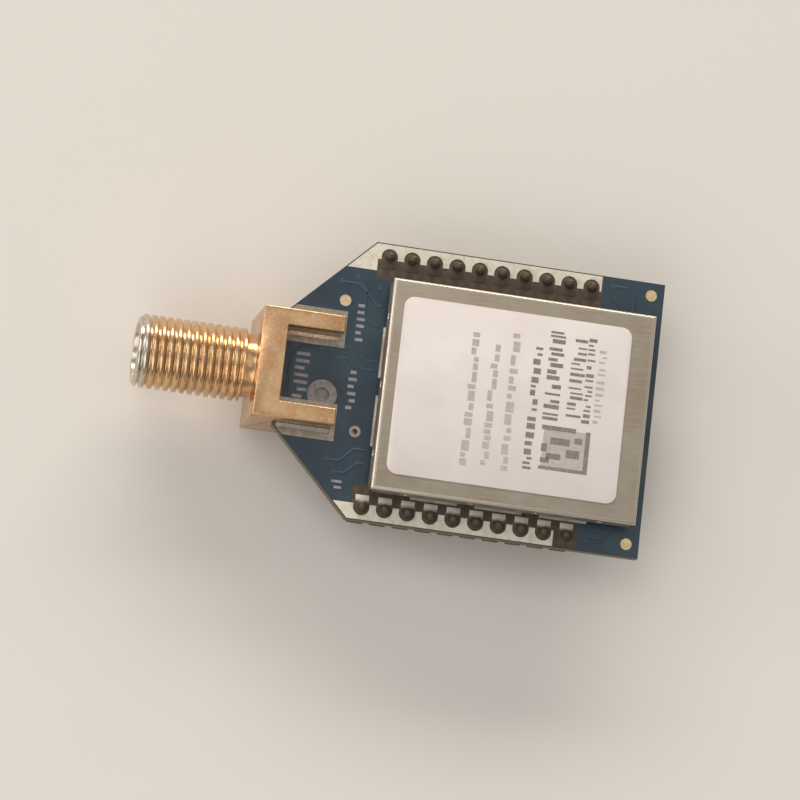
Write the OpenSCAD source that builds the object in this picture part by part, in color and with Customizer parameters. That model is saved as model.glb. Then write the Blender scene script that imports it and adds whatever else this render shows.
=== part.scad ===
// Plug-in wifi module: a small circuit board with a shielded radio, two rows of
// header pins underneath and a threaded antenna jack soldered over its narrow end.
// Millimetres. X runs from the jack to the board's flat end, Z is up.
// The origin is the centre of the pin field, in the plane that the two header
// bodies seat on, so the pins reach below it and the board lies above it.

/* [Board] */
// Length of open board between the jack's end and the shield
jack_area_l = 8.64; // [8:0.1:14]
// Width of the circuit board along Y
board_w = 24.38; // [24.2:0.1:27]
// Thickness of the laminate
board_t = 1.0; // [0.8:0.1:1.6]
// How far the board's narrow end reaches past the jack's flange, on each side
tip_rim = 0.225; // [0.15:0.025:0.6]
// Distance from the last pin to the board's flat end
end_margin = 6.53; // [6:0.1:8]

/* [Headers] */
// Pins in each row
pins_per_row = 10; // [6:1:10]
// Distance between neighbouring pins
pin_pitch = 2.0; // [1.8:0.05:2.0]
// Distance from a row of pins to the board's long edge beside it
row_inset = 1.19; // [1.1:0.01:1.3]
// Side of a square pin
pin_w = 0.5; // [0.4:0.05:0.55]
// Length of a pin below its header body
pin_drop = 4.06; // [3:0.1:6]
// Length of a pin's tail above the board
tail_l = 0.95; // [0.6:0.05:1.6]
// Height of the plastic header body
header_h = 2.03; // [1.5:0.1:4]
// Width of the plastic header body
header_w = 2.0; // [1.6:0.05:2.1]
// Cut at the corners of each header segment
header_cut = 0.35; // [0.2:0.05:0.5]
// Plated hole for a pin, measured across
pin_hole_d = 0.8; // [0.78:0.02:0.9]

/* [Pin solder] */
// Width of a solder pad
pad_w = 1.2; // [1.0:0.05:1.4]
// How far a pad reaches inwards past its pin's centre
pad_toe = 1.05; // [0.8:0.05:1.1]
// Height of a solder cone above the board
solder_h = 0.65; // [0.4:0.05:0.8]
// Bare rim of a pad round the foot of its solder cone
pad_rim = 0.05; // [0.02:0.01:0.1]
// Thickness of the solder on each side of a pin at the cone's top
solder_wall = 0.125; // [0.1:0.005:0.15]

/* [Printed edge] */
// Distance from the board's edge to the printed band
print_margin = 0.1; // [0.05:0.05:0.3]
// Width of the printed band
print_w = 1.35; // [1.0:0.05:1.4]
// Clear ring round each pad in the print
print_clear = 0.12; // [0.05:0.01:0.3]
// How far a band runs past the last pin that it serves
print_past = 0.9; // [0.3:0.1:1.0]
// Pins at the flat end that the shorter band leaves out
print_skip = 1; // [0:1:3]
// Length of the printed corner patch along X
patch_l = 2.4; // [1:0.1:3]
// Thickness of the print
print_t = 0.03; // [0.02:0.01:0.06]

/* [Shield] */
// Length of the shield cover along X
cover_l = 23.3; // [21:0.1:23.6]
// Distance from the shield cover to each long edge of the board
cover_side_gap = 2.94; // [2.85:0.01:3.5]
// Height of the shield cover's top above the board
cover_h = 2.6; // [2.3:0.1:4]
// Distance from the shield cover to the board's flat end
cover_end_gap = 1.0; // [0.5:0.05:1.2]
// How far the shield sits off the board's middle line, towards -Y
cover_shift = 0.45; // [0:0.05:0.45]
// Thickness of the shield's sheet metal
sheet_t = 0.2; // [0.12:0.01:0.25]
// Play between the cover's skirt and the frame
cover_play = 0.02; // [0.01:0.01:0.04]
// Outside radius of the cover's bends
bend_r = 0.35; // [0.3:0.05:0.5]
// Gap between the cover's skirt and the board
skirt_gap = 0.8; // [0.6:0.05:1]
// Width of the frame's inward rim
rim_w = 1.0; // [0.6:0.1:1.6]
// Width of the pick-up bridge across the frame
bridge_w = 3.0; // [2:0.1:5]
// Width of a notch in the frame's foot
notch_w = 1.3; // [0.8:0.1:1.8]
// Height of a notch in the frame's foot
notch_h = 0.45; // [0.3:0.05:0.55]
// Notches along each long side
notches_long = 4; // [2:1:5]
// Notches along each short side
notches_short = 3; // [2:1:4]
// Radius of a locking dimple
dimple_r = 0.3; // [0.2:0.02:0.4]
// Width of the solder along the frame's foot
foot_solder = 0.3; // [0.25:0.05:0.4]

/* [Label] */
// Margin between the label and the cover's edge beside the jack
label_margin_jack = 1.1; // [1:0.05:1.8]
// Margin between the label and the cover's edge at the flat end
label_margin_end = 2.05; // [1:0.05:3]
// Margin between the label and each long edge of the cover
label_margin_side = 1.5; // [1:0.05:3]
// Corner radius of the label
label_r = 0.9; // [0.3:0.1:2]
// Thickness of the label
label_t = 0.1; // [0.05:0.01:0.2]

/* [Antenna jack] */
// Width of the jack's flange along Y
flange_w = 9.53; // [9.3:0.05:9.6]
// Height of the jack's flange along Z
flange_h = 7.92; // [7.4:0.05:9]
// Thickness of the jack's flange
flange_t = 2.2; // [1.5:0.1:3]
// Length of the relief behind the thread
neck_l = 0.9; // [0.5:0.1:1.5]
// Diameter of the relief behind the thread
neck_d = 5.5; // [5.2:0.05:5.9]
// Outside diameter of the thread
barrel_d = 6.35; // [6.2:0.05:6.6]
// Length of the threaded barrel
barrel_l = 9.3; // [8:0.1:12]
// Bevel at the barrel's mouth
mouth_bevel = 0.35; // [0.2:0.05:0.5]
// Diameter of the socket inside the barrel
socket_d = 4.6; // [4.4:0.05:4.8]
// Depth of the socket inside the barrel
socket_depth = 3.2; // [2:0.1:5]
// Diameter of the insulator
insulator_d = 4.1; // [3.6:0.05:4.2]
// Diameter of the centre contact
contact_d = 0.92; // [0.8:0.02:1.1]
// Distance from the contact's end to the barrel's mouth
contact_recess = 0.6; // [0.3:0.1:1.5]
// Length of the contact's tail under the board
contact_tail = 3.0; // [2:0.1:4.5]
// Height of the flat on the contact's tail above its axis
tail_flat = 0.25; // [0.1:0.05:0.35]
// Length of the jack's legs along the board
leg_l = 4.9; // [3.5:0.1:5.4]
// Width of each leg
leg_w = 1.45; // [1.1:0.05:1.8]

/* [Board lands] */
// Thickness of a tinned land
land_t = 0.04; // [0.03:0.01:0.08]
// How far a ground land shows on the inner side of its leg
land_inner = 0.85; // [0.5:0.05:0.9]
// How far a ground land shows on the outer side of its leg
land_outer = 0.95; // [0.5:0.05:1.2]
// How far a land shows past the end of what is soldered to it
land_end = 0.45; // [0.3:0.05:0.6]
// Bare laminate between a ground land and the board's edge
land_edge = 0.1; // [0.05:0.01:0.15]
// Width and height of the solder fillets beside the jack's legs
leg_fillet = 0.4; // [0.3:0.05:0.45]
// How far the feed land shows on each side of the contact's tail
feed_rim = 0.5; // [0.4:0.05:0.6]
// Diameter of a fiducial
fiducial_d = 1.0; // [0.8:0.1:1.2]
// Distance from a fiducial's centre to the board's flat end
fiducial_end = 1.15; // [0.9:0.05:2]
// Distance from a fiducial's centre to the board's long edge
fiducial_side = 1.15; // [0.8:0.05:1.6]
// Distance from the third fiducial's centre back to the end of the ground land beside it
fiducial_back = 0.35; // [0:0.05:1]
// Bare laminate between the third fiducial and that ground land
fiducial_gap = 0.45; // [0.3:0.05:1]
// Outside diameter of the plated test ring
ring_d = 2.6; // [2:0.1:2.8]
// Hole in the plated test ring
ring_hole_d = 1.2; // [0.8:0.1:1.2]
// Depth of the solder that fills the test ring's hole, below the board's face
ring_sink = 0.2; // [0.1:0.05:0.4]
// Distance from the test ring's centre to the board's narrow end
ring_back = 3.9; // [3.7:0.05:4.4]
// Pad left between the test ring's hole and the ground land that it runs into
ring_gap = 0.065; // [0.05:0.005:0.2]
// Outside diameter of the small via ring
via_d = 1.0; // [0.8:0.1:1.2]
// Hole in the small via ring
via_hole_d = 0.45; // [0.3:0.05:0.5]
// Distance from the small via ring's centre to the board's narrow end
via_back = 7.1; // [6.6:0.1:7.3]
// Distance from the small via ring's centre to the board's middle line
via_side = 4.6; // [3:0.1:6]

/* [Parts under the shield] */
// Least gap between the parts, and between them and the shield's walls
part_gap = 0.6; // [0.4:0.05:0.7]
// Side of the radio chip
radio_w = 8.0; // [6:0.5:8]
// Height of the radio chip
radio_h = 0.9; // [0.7:0.05:1.2]
// Side of the microcontroller
micro_w = 7.0; // [5:0.5:7]
// Height of the microcontroller
micro_h = 1.0; // [0.7:0.05:1.4]
// Length of the flash memory chip
flash_l = 5.0; // [3:0.5:5]
// Width of the flash memory chip
flash_w = 4.0; // [3:0.5:4]
// Height of the flash memory chip
flash_h = 0.8; // [0.6:0.05:1.2]
// Side of the power amplifier
amplifier_w = 3.0; // [2:0.5:3]
// Height of the power amplifier
amplifier_h = 0.9; // [0.6:0.05:1.2]
// Side of the antenna switch
switch_w = 2.0; // [1:0.5:2]
// Height of the antenna switch
switch_h = 0.6; // [0.4:0.05:1]
// Length of the voltage regulator
regulator_l = 2.5; // [2:0.5:3]
// Width of the voltage regulator
regulator_w = 3.0; // [2:0.5:3]
// Height of the voltage regulator
regulator_h = 1.0; // [0.6:0.05:1.3]
// Long side of a crystal
crystal_l = 3.2; // [2:0.1:3.2]
// Short side of the main crystal
crystal_w = 2.5; // [1.6:0.1:2.5]
// Short side of the clock crystal
clock_w = 1.5; // [1:0.1:1.6]
// Height of a crystal
crystal_h = 0.75; // [0.5:0.05:1]
// Length of the antenna filter
filter_l = 2.0; // [1.6:0.1:2]
// Length of a small capacitor
capacitor_l = 1.0; // [0.6:0.1:1]
// Number of capacitors in the column between the large chips
capacitor_count = 7; // [4:1:7]
// Distance between neighbouring capacitors
capacitor_pitch = 1.3; // [0.9:0.05:1.35]
// Length of a small resistor
resistor_l = 1.0; // [0.6:0.1:1]
// Number of resistors in the row
resistor_count = 6; // [3:1:8]
// Distance between neighbouring resistors
resistor_pitch = 1.45; // [0.9:0.05:1.6]
// Side of the power inductor
inductor_w = 2.7; // [2:0.1:2.8]
// Height of the power inductor
inductor_h = 1.5; // [1:0.1:1.6]
// Radius of the inductor's corners
inductor_r = 0.4; // [0.2:0.05:0.6]

/* [Hidden] */

// smoothness of round parts
round_fn = 64;
small_fn = 32;
// overshoot of a cutting tool past the face it cuts
cut = 0.5;

// pin field
field_l = (pins_per_row - 1) * pin_pitch;
row_y = board_w / 2 - row_inset;
pin_xs = [for (i = [0 : pins_per_row - 1]) -field_l / 2 + i * pin_pitch];

// board faces and ends
board_z = header_h;
board_top = board_z + board_t;
board_l = jack_area_l + cover_l + cover_end_gap;
flat_x = field_l / 2 + end_margin;
tip_x = flat_x - board_l;
tip_w = flange_w + 2 * tip_rim;
corner_cut = (board_w - tip_w) / 2;

// shield: the cover hangs outside the frame
cover_w = board_w - 2 * cover_side_gap;
cover_y = -cover_shift;
cover_x1 = flat_x - cover_end_gap;
cover_x0 = cover_x1 - cover_l;
cover_mid = (cover_x0 + cover_x1) / 2;
frame_l = cover_l - 2 * (sheet_t + cover_play);
frame_w = cover_w - 2 * (sheet_t + cover_play);
frame_h = cover_h - sheet_t;
inner_l = frame_l - 2 * sheet_t;
inner_w = frame_w - 2 * sheet_t;
dimple_z = board_top + (skirt_gap + frame_h) / 2;
dimple_out = cover_play + sheet_t / 2;

// label on the cover
label_l = cover_l - label_margin_jack - label_margin_end;
label_w = cover_w - 2 * label_margin_side;
label_x = cover_x0 + label_margin_jack + label_l / 2;

// jack: the flat on the contact's tail lies on the feed land under the board
jack_z = board_z - land_t - tail_flat;
flange_x = tip_x - flange_t;
barrel_x = flange_x - neck_l;
mouth_x = barrel_x - barrel_l;
leg_y = flange_w / 2 - leg_w / 2;
leg_top = jack_z + flange_h / 2;
leg_bottom = jack_z - flange_h / 2;
upper_land = board_top + land_t;
lower_land = board_z - land_t;
land_y0 = flange_w / 2 - leg_w - land_inner;
land_y1 = flange_w / 2 + land_outer;
land_l = leg_l + land_end;

// printed band: both ends of its line across the board, and its start on a
// line beside the 45 degree cut
band_y1 = board_w / 2 - print_margin;
band_y0 = band_y1 - print_w;
function beside_cut(y) = tip_x + corner_cut - (board_w / 2 - y) + print_margin * sqrt(2);

// places on the board
ring_x = tip_x + ring_back;
ring_y = ring_gap + ring_hole_d / 2 - land_y0;
via_x = tip_x + via_back;
via_y = -via_side;
fiducial_places = [
    [flat_x - fiducial_end, board_w / 2 - fiducial_side],
    [flat_x - fiducial_end, fiducial_side - board_w / 2],
    [tip_x + land_l - fiducial_back, land_y1 + fiducial_gap + fiducial_d / 2]
];

// ---------- general shapes ----------

// block centred on X and Y that stands on z
module block(x, y, z, l, w, h) {
    translate([x - l / 2, y - w / 2, z]) cube([l, w, h]);
}

// flat rectangle with round corners, centred
module rounded_plate(l, w, r, h) {
    linear_extrude(h) {
        square([l - 2 * r, w], center = true);
        square([l, w - 2 * r], center = true);
        for (sx = [-1, 1], sy = [-1, 1]) {
            translate([sx * (l / 2 - r), sy * (w / 2 - r)]) circle(r, $fn = small_fn);
        }
    }
}

// round bar along X from x0 to x1 on the jack's axis
module jack_bar(x0, x1, d) {
    translate([x0, 0, jack_z]) rotate([0, 90, 0]) cylinder(h = x1 - x0, d = d, $fn = round_fn);
}

// solder fillet: a right-angled wedge along X, its walls on the -Y and -Z sides
module wedge(l, w, h) {
    translate([-l / 2, 0, 0]) rotate([90, 0, 90]) linear_extrude(l) polygon([[0, 0], [w, 0], [0, h]]);
}

// ---------- circuit board ----------

module board_outline() {
    polygon([
        [flat_x, -board_w / 2],
        [flat_x, board_w / 2],
        [tip_x + corner_cut, board_w / 2],
        [tip_x, tip_w / 2],
        [tip_x, -tip_w / 2],
        [tip_x + corner_cut, -board_w / 2]
    ]);
}

module circuit_board() {
    color("#35586e") difference() {
        translate([0, 0, board_z]) linear_extrude(board_t) board_outline();
        for (x = pin_xs, s = [-1, 1]) {
            translate([x, s * row_y, board_z - cut]) cylinder(h = board_t + 2 * cut, d = pin_hole_d, $fn = small_fn);
        }
        translate([ring_x, ring_y, board_z - cut]) cylinder(h = board_t + 2 * cut, d = ring_hole_d, $fn = small_fn);
        translate([via_x, via_y, board_z - cut]) cylinder(h = board_t + 2 * cut, d = via_hole_d, $fn = small_fn);
    }
}

// pad outline of one pin: round outside, with a longer toe towards the shield
module pad_outline(grow) {
    circle(d = pad_w + 2 * grow, $fn = small_fn);
    toe = pad_toe + grow;
    translate([-pad_w / 2 - grow, -toe]) square([pad_w + 2 * grow, toe]);
}

// white print along one long edge, notched round every pad it meets
module print_band(end_x) {
    difference() {
        polygon([
            [beside_cut(band_y0), band_y0],
            [end_x, band_y0],
            [end_x, band_y1],
            [beside_cut(band_y1), band_y1]
        ]);
        for (x = pin_xs) translate([x, row_y]) pad_outline(print_clear);
    }
}

// white corner patch between the cut corner and the first pin
module print_corner() {
    patch_x1 = pin_xs[0] - pin_pitch / 2;
    patch_y0 = band_y1 - patch_l;
    polygon([
        [beside_cut(patch_y0), patch_y0],
        [patch_x1, patch_y0],
        [patch_x1, band_y1],
        [beside_cut(band_y1), band_y1]
    ]);
}

module edge_print() {
    color("#e8e4da") translate([0, 0, board_top]) linear_extrude(print_t) {
        print_band(pin_xs[pins_per_row - 1] + print_past);
        mirror([0, 1]) print_band(pin_xs[pins_per_row - 1 - print_skip] + print_past);
        print_corner();
    }
}

module fiducials() {
    color("#c9a45c") for (p = fiducial_places) {
        translate([p[0], p[1], board_top]) cylinder(h = land_t, d = fiducial_d, $fn = small_fn);
    }
}

module ring(x, y, d, hole) {
    translate([x, y, board_top]) difference() {
        cylinder(h = land_t, d = d, $fn = small_fn);
        translate([0, 0, -cut]) cylinder(h = land_t + 2 * cut, d = hole, $fn = small_fn);
    }
}

// the ring's pad runs into the ground land beside it
module test_ring() {
    color("#b7b1a6") difference() {
        ring(ring_x, ring_y, ring_d, ring_hole_d);
        translate([0, 0, board_top - cut]) linear_extrude(land_t + 2 * cut) land_outline(-1);
    }
}

module ring_fill() {
    color("#a8a196") translate([ring_x, ring_y, board_z])
        cylinder(h = board_t - ring_sink, d = ring_hole_d, $fn = small_fn);
}

module via_ring() {
    color("#b7b1a6") ring(via_x, via_y, via_d, via_hole_d);
}

// outline of one ground land, beside the middle line's +Y or -Y side
module land_outline(side) {
    intersection() {
        translate([tip_x, side > 0 ? land_y0 : -land_y1]) square([land_l, land_y1 - land_y0]);
        offset(delta = -land_edge) board_outline();
    }
}

// tinned lands that the jack's legs are soldered to, on both faces
module ground_lands() {
    color("#b9b4aa") for (s = [-1, 1], z = [board_top, lower_land]) {
        translate([0, 0, z]) linear_extrude(land_t) land_outline(s);
    }
}

// tinned land under the board that the centre contact is soldered to
module feed_land() {
    color("#b9b4aa") block(tip_x + land_edge + (contact_tail + land_end - land_edge) / 2, 0, lower_land,
        contact_tail + land_end - land_edge, contact_d + 2 * feed_rim, land_t);
}

// ---------- headers ----------

// one octagonal segment of the plastic strip, in plan
module segment() {
    a = pin_pitch / 2;
    b = header_w / 2;
    c = header_cut;
    polygon([[-a, c - b], [c - a, -b], [a - c, -b], [a, c - b], [a, b - c], [a - c, b], [c - a, b], [-a, b - c]]);
}

module header_body(y) {
    difference() {
        translate([0, y, 0]) linear_extrude(header_h) {
            for (x = pin_xs) translate([x, 0]) segment();
        }
        for (x = pin_xs) block(x, y, -cut, pin_w, pin_w, header_h + 2 * cut);
    }
}

module header_body_a() {
    color("#1d1c1b") header_body(row_y);
}

module header_body_b() {
    color("#1d1c1b") header_body(-row_y);
}

// side view of a pin, tapered at both ends
module pin_side() {
    taper = 0.5 * pin_w;
    a = pin_w / 2;
    b = 0.45 * a;
    top = board_top + tail_l;
    polygon([
        [-b, -pin_drop], [b, -pin_drop], [a, taper - pin_drop], [a, top - taper / 2],
        [b, top], [-b, top], [-a, top - taper / 2], [-a, taper - pin_drop]
    ]);
}

module pin() {
    intersection() {
        translate([0, pin_w, 0]) rotate([90, 0, 0]) linear_extrude(2 * pin_w) pin_side();
        translate([-pin_w, 0, 0]) rotate([90, 0, 90]) linear_extrude(2 * pin_w) pin_side();
    }
}

module header_pins(y) {
    for (x = pin_xs) translate([x, y, 0]) pin();
}

module header_pins_a() {
    color("#c8a85a") header_pins(row_y);
}

module header_pins_b() {
    color("#c8a85a") header_pins(-row_y);
}

// solder of one pin: a tinned pad and a cone that wets the pin
module pin_joint() {
    difference() {
        union() {
            translate([0, 0, board_top]) linear_extrude(land_t) pad_outline(0);
            translate([0, 0, board_top])
                cylinder(h = solder_h, d1 = pad_w - 2 * pad_rim, d2 = pin_w + 2 * solder_wall, $fn = small_fn);
        }
        block(0, 0, board_top - cut, pin_w, pin_w, solder_h + 2 * cut);
    }
}

module pin_solder_a() {
    color("#8f8b84") for (x = pin_xs) translate([x, row_y, 0]) pin_joint();
}

module pin_solder_b() {
    color("#8f8b84") for (x = pin_xs) translate([x, -row_y, 0]) mirror([0, 1, 0]) pin_joint();
}

// ---------- shield ----------

// centres of n evenly spaced features along a side of length l
function spread(n, l) = [for (i = [0 : n - 1]) (i + 0.5) * l / n - l / 2];

// middle of each foot between the notches, and the feet's length
function feet(n, l) = [for (i = [1 : n - 1]) i * l / n - l / 2];

module frame_notches() {
    for (x = spread(notches_long, frame_l)) {
        block(x, 0, -cut, notch_w, frame_w + 2 * cut, notch_h + cut);
    }
    for (y = spread(notches_short, frame_w)) {
        block(0, y, -cut, frame_l + 2 * cut, notch_w, notch_h + cut);
    }
}

// round dimples that lock the cover to the frame, on all four sides
module dimples(r, out) {
    translate([cover_mid, cover_y, dimple_z]) {
        for (x = spread(notches_long, frame_l), s = [-1, 1]) {
            translate([x, s * (frame_w / 2 + out / 2), 0]) rotate([90, 0, 0])
                cylinder(h = out, r = r, center = true, $fn = small_fn);
        }
        for (y = spread(notches_short, frame_w), s = [-1, 1]) {
            translate([s * (frame_l / 2 + out / 2), y, 0]) rotate([0, 90, 0])
                cylinder(h = out, r = r, center = true, $fn = small_fn);
        }
    }
}

module shield_frame() {
    color("#a9a396") {
        translate([cover_mid, cover_y, board_top]) difference() {
            block(0, 0, 0, frame_l, frame_w, frame_h);
            block(0, 0, -cut, inner_l, inner_w, frame_h - sheet_t + cut);
            for (s = [-1, 1]) {
                opening_l = inner_l / 2 - rim_w - bridge_w / 2;
                block(s * (bridge_w + opening_l) / 2, 0, 0, opening_l, inner_w - 2 * rim_w, frame_h + cut);
            }
            frame_notches();
        }
        dimples(dimple_r, dimple_out);
    }
}

// solder between the feet of the frame and the board
module shield_solder() {
    long_foot = frame_l / notches_long - notch_w - foot_solder;
    short_foot = frame_w / notches_short - notch_w - foot_solder;
    color("#b3aea3") translate([cover_mid, cover_y, board_top]) {
        for (x = feet(notches_long, frame_l), s = [0, 1]) {
            mirror([0, s, 0]) translate([x, frame_w / 2, 0]) wedge(long_foot, foot_solder, foot_solder);
        }
        for (y = feet(notches_short, frame_w), s = [0, 1]) {
            mirror([s, 0, 0]) translate([frame_l / 2, y, 0]) rotate([0, 0, -90]) wedge(short_foot, foot_solder, foot_solder);
        }
    }
}

// end view of a folded sheet: square below, with rounded shoulders at the top
module folded_end(w, h, r) {
    translate([-w / 2, 0]) square([w, h - r]);
    translate([r - w / 2, 0]) square([w - 2 * r, h]);
    for (s = [-1, 1]) translate([s * (w / 2 - r), h - r]) circle(r, $fn = round_fn);
}

// block with rounded top edges, open to what lies below z = 0
module folded_block(l, w, h, r) {
    intersection() {
        translate([-l / 2, 0, 0]) rotate([90, 0, 90]) linear_extrude(l) folded_end(w, h, r);
        translate([0, w / 2, 0]) rotate([90, 0, 0]) linear_extrude(w) folded_end(l, h, r);
    }
}

module shield_cover() {
    skirt_h = cover_h - skirt_gap;
    color("#a59b8e") difference() {
        translate([cover_mid, cover_y, board_top + skirt_gap]) difference() {
            folded_block(cover_l, cover_w, skirt_h, bend_r);
            translate([0, 0, -cut]) block(0, 0, 0, cover_l - 2 * sheet_t, cover_w - 2 * sheet_t, skirt_h - sheet_t + cut);
            for (sx = [-1, 1], sy = [-1, 1]) {
                block(sx * cover_l / 2, sy * cover_w / 2, -cut, 2 * bend_r, 2 * bend_r, skirt_h - bend_r + cut);
            }
        }
        dimples(dimple_r + cover_play, sheet_t + 2 * cover_play + cut);
    }
}

module label() {
    color("#e6ddd2") translate([label_x, cover_y, board_top + cover_h])
        rounded_plate(label_l, label_w, label_r, label_t);
}

// ---------- antenna jack ----------

module jack_legs() {
    for (s = [-1, 1]) {
        block(tip_x + leg_l / 2, s * leg_y, upper_land, leg_l, leg_w, leg_top - upper_land);
        block(tip_x + leg_l / 2, s * leg_y, leg_bottom, leg_l, leg_w, lower_land - leg_bottom);
    }
}

// threaded barrel at its full outside diameter, bevelled at the mouth
module jack_barrel() {
    translate([mouth_x, 0, jack_z]) rotate([0, 90, 0]) rotate_extrude($fn = round_fn) {
        polygon([
            [0, 0], [barrel_d / 2 - mouth_bevel, 0], [barrel_d / 2, mouth_bevel],
            [barrel_d / 2, barrel_l], [0, barrel_l]
        ]);
    }
}

module antenna_jack() {
    color("#c79a5b") difference() {
        union() {
            block(tip_x - flange_t / 2, 0, leg_bottom, flange_t, flange_w, flange_h);
            jack_bar(barrel_x, flange_x, neck_d);
            jack_barrel();
            jack_legs();
        }
        jack_bar(mouth_x - cut, mouth_x + socket_depth, socket_d);
        jack_bar(mouth_x, tip_x + cut, insulator_d);
    }
}

module jack_insulator() {
    color("#ece9e2") difference() {
        jack_bar(mouth_x + socket_depth, tip_x, insulator_d);
        jack_bar(mouth_x, tip_x + cut, contact_d);
    }
}

module jack_contact() {
    color("#c8a85a") difference() {
        jack_bar(mouth_x + contact_recess, tip_x + contact_tail, contact_d);
        block(tip_x + contact_tail, 0, lower_land, 2 * contact_tail, 2 * contact_d, contact_d);
    }
}

// fillet beside the board face, from x0 to the end of what it holds
module leg_solder(x0, x1, y, w, h) {
    translate([(x0 + x1) / 2, y, 0]) wedge(x1 - x0, w, h);
}

// one fillet on each side of every leg, and two along the contact's tail; the
// outer ones start where the board is wide enough to carry them
module jack_solder() {
    leg_end = tip_x + leg_l;
    outer_x0 = tip_x + flange_w / 2 + leg_fillet - (tip_w / 2 - land_edge);
    inner_x0 = tip_x + land_edge;
    tail_w = sqrt(pow(contact_d / 2, 2) - pow(tail_flat, 2));
    color("#b9b4aa") {
        for (s = [0, 1], m = [0, 1]) mirror([0, s, 0]) {
            translate([0, 0, m == 0 ? upper_land : lower_land]) mirror([0, 0, m]) {
                leg_solder(outer_x0, leg_end, flange_w / 2, leg_fillet, leg_fillet);
                mirror([0, 1, 0]) leg_solder(inner_x0, leg_end, leg_w - flange_w / 2, leg_fillet, leg_fillet);
            }
        }
        for (s = [0, 1]) mirror([0, s, 0]) {
            difference() {
                translate([0, tail_w, lower_land]) mirror([0, 0, 1])
                    translate([(inner_x0 + tip_x + contact_tail) / 2, 0, 0])
                        wedge(tip_x + contact_tail - inner_x0, leg_fillet, tail_flat);
                jack_bar(tip_x - cut, tip_x + contact_tail + cut, contact_d);
            }
        }
    }
}

// ---------- parts under the shield ----------

// moulded chip with a round mark sunk in its top, at its first corner
module chip(x, y, l, w, h) {
    mark = min(l, w) / 8;
    difference() {
        block(x, y, board_top, l, w, h);
        translate([x - l / 2 + 2 * mark, y + w / 2 - 2 * mark, board_top + h - mark_depth])
            cylinder(h = mark_depth + cut, r = mark / 2, $fn = small_fn);
    }
}

// small two-ended part: a body between two slightly taller end caps
module end_capped(x, y, l, along_y) {
    w = l / 2;
    end = l / 4;
    translate([x, y, board_top]) rotate([0, 0, along_y ? 90 : 0]) {
        block(0, 0, 0, l, w - 2 * cap_lip, w - cap_lip);
        for (s = [-1, 1]) block(s * (l - end) / 2, 0, 0, end, w, w);
    }
}

// metal crystal can on its ceramic base
module crystal(x, y, l, w, h) {
    base_h = 0.4 * h;
    block(x, y, board_top, l, w, base_h);
    block(x, y, board_top + base_h, l - 2 * can_step, w - 2 * can_step, h - base_h);
}

// depth of a chip's mark, lip of an end cap, step round a crystal's can
mark_depth = 0.1;
cap_lip = 0.03;
can_step = 0.15;

// inner walls of the shield, less the gap that every part keeps from them
in_x0 = cover_mid - inner_l / 2 + part_gap;
in_x1 = cover_mid + inner_l / 2 - part_gap;
in_y0 = cover_y - inner_w / 2 + part_gap;
in_y1 = cover_y + inner_w / 2 - part_gap;

// the radio chip is set back from the jack's end, the microcontroller from the
// flat end, and the other parts are stacked from them and from the walls
radio_x = in_x0 + part_gap + radio_w / 2;
radio_y = in_y0 + radio_w / 2;
radio_top = in_y0 + radio_w;
micro_x = in_x1 - 2 * part_gap - micro_w / 2;
micro_y = in_y0 + micro_w / 2;
micro_top = in_y0 + micro_w;
middle_x = (radio_x + radio_w / 2 + micro_x - micro_w / 2) / 2;
amplifier_x = in_x0 + amplifier_w / 2;
crystal_x = amplifier_x + amplifier_w / 2 + part_gap + crystal_l / 2;
clock_x = middle_x;
flash_x = middle_x + clock_w / 2 + part_gap + flash_l / 2;
inductor_x = in_x1 - inductor_w / 2;
inductor_y = micro_top + part_gap + inductor_w / 2;
resistor_y = in_y1 - resistor_l / 2;

module radio_chip() {
    color("#22262a") chip(radio_x, radio_y, radio_w, radio_w, radio_h);
}

module microcontroller() {
    color("#1f2326") chip(micro_x, micro_y, micro_w, micro_w, micro_h);
}

module flash_memory() {
    color("#26282a") chip(flash_x, micro_top + part_gap + flash_w / 2, flash_l, flash_w, flash_h);
}

module power_amplifier() {
    amplifier_y = radio_top + part_gap + amplifier_w / 2;
    color("#2a2c2e") chip(amplifier_x, amplifier_y, amplifier_w, amplifier_w, amplifier_h);
}

module antenna_switch() {
    color("#2a2c2e") chip(in_x0 + switch_w / 2, in_y1 - switch_w / 2, switch_w, switch_w, switch_h);
}

module antenna_filter() {
    filter_x = in_x0 + switch_w + part_gap + filter_l / 2;
    color("#8a8478") end_capped(filter_x, in_y1 - filter_l / 4, filter_l, false);
}

module main_crystal() {
    color("#b5b0a4") crystal(crystal_x, radio_top + part_gap + crystal_w / 2, crystal_l, crystal_w, crystal_h);
}

module clock_crystal() {
    column_top = in_y0 + (capacitor_count - 1) * capacitor_pitch + capacitor_l / 2;
    clock_y = column_top + part_gap + crystal_l / 2;
    color("#b5b0a4") crystal(clock_x, clock_y, clock_w, crystal_l, crystal_h);
}

module voltage_regulator() {
    regulator_y = inductor_y + (inductor_w + regulator_w) / 2 + part_gap;
    color("#2a2c2e") chip(in_x1 - regulator_l / 2, regulator_y, regulator_l, regulator_w, regulator_h);
}

module power_inductor() {
    color("#4a4744") translate([inductor_x, inductor_y, board_top])
        rounded_plate(inductor_w, inductor_w, inductor_r, inductor_h);
}

// supply capacitors in a column between the two large chips
module capacitors() {
    color("#a98d66") for (i = [0 : capacitor_count - 1]) {
        end_capped(middle_x, in_y0 + capacitor_l / 4 + i * capacitor_pitch, capacitor_l, false);
    }
}

// resistors in a row along the far wall, from the middle towards the flat end
module resistors() {
    color("#33312e") for (i = [0 : resistor_count - 1]) {
        end_capped(middle_x + i * resistor_pitch, resistor_y, resistor_l, true);
    }
}

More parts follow.
